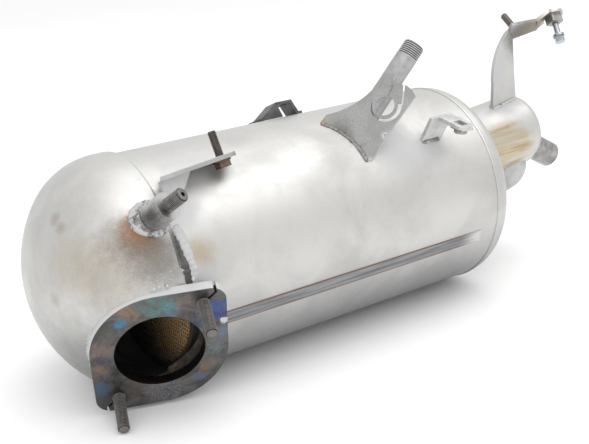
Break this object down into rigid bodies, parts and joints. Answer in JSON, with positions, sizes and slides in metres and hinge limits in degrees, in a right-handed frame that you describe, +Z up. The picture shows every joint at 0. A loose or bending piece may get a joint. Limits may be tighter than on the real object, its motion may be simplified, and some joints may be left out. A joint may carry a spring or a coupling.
{
  "type": "diesel particulate filter",
  "caption": "Exhaust particulate filter canister with a domed inlet end, studded square inlet flange, offset outlet drum, sensor ports and welded brackets.",
  "frame": {"origin": "centre of the inlet mouth on the flange's sealing face", "axes": "+X along the canister from the inlet dome to the outlet drum, +Z up as the filter lies on a floor, -Y towards the side that the inlet faces"},
  "size_m": [0.4969, 0.2025, 0.216],
  "materials": {
    "flange_steel": "dark, tempered",
    "dark_fastener": "dark, heat-browned",
    "cap_steel": "satin",
    "shell_steel": "satin",
    "weld_steel": "rough",
    "seam_steel": "rough",
    "catalyst_ceramic": "matt",
    "filter_ceramic": "matt",
    "fibre_mat": "matt",
    "wire_steel": "woven",
    "drum_steel": "satin",
    "pipe_steel": "satin",
    "boss_steel": "satin",
    "nipple_steel": "heat-browned",
    "strip_steel": "satin",
    "raw_plate": "dark, raw",
    "painted_bracket": "matt silver paint",
    "hook_steel": "satin",
    "zinc_screw": "bright zinc"
  },
  "bodies": {
    "root": {"inlet_flange": "flange_steel", "inlet_studs": "dark_fastener", "inlet_cap": "cap_steel", "shell": "shell_steel", "cap_ring_weld": "weld_steel", "flange_weld": "weld_steel", "shell_seam": "seam_steel", "catalyst_brick": "catalyst_ceramic", "catalyst_mat": "fibre_mat", "filter_brick": "filter_ceramic", "filter_mat": "fibre_mat", "mat_ring": "wire_steel", "end_cap": "shell_steel", "end_ring_weld": "weld_steel", "outlet_drum": "drum_steel", "drum_cap": "drum_steel", "end_port": "pipe_steel", "outlet_pipe": "pipe_steel", "pressure_boss": "boss_steel", "pressure_nipple": "nipple_steel", "boss_weld": "weld_steel", "strip_bracket": "strip_steel", "strip_bolt": "dark_fastener", "horn_plate": "raw_plate", "sensor_tube": "pipe_steel", "tube_weld": "weld_steel", "tab_bracket": "painted_bracket", "tab_clip": "dark_fastener", "rear_bracket": "raw_plate", "hook_bracket": "hook_steel", "hook_stud": "dark_fastener", "cage_nut": "dark_fastener", "eye_screw": "zinc_screw"}
  },
  "joints": []
}
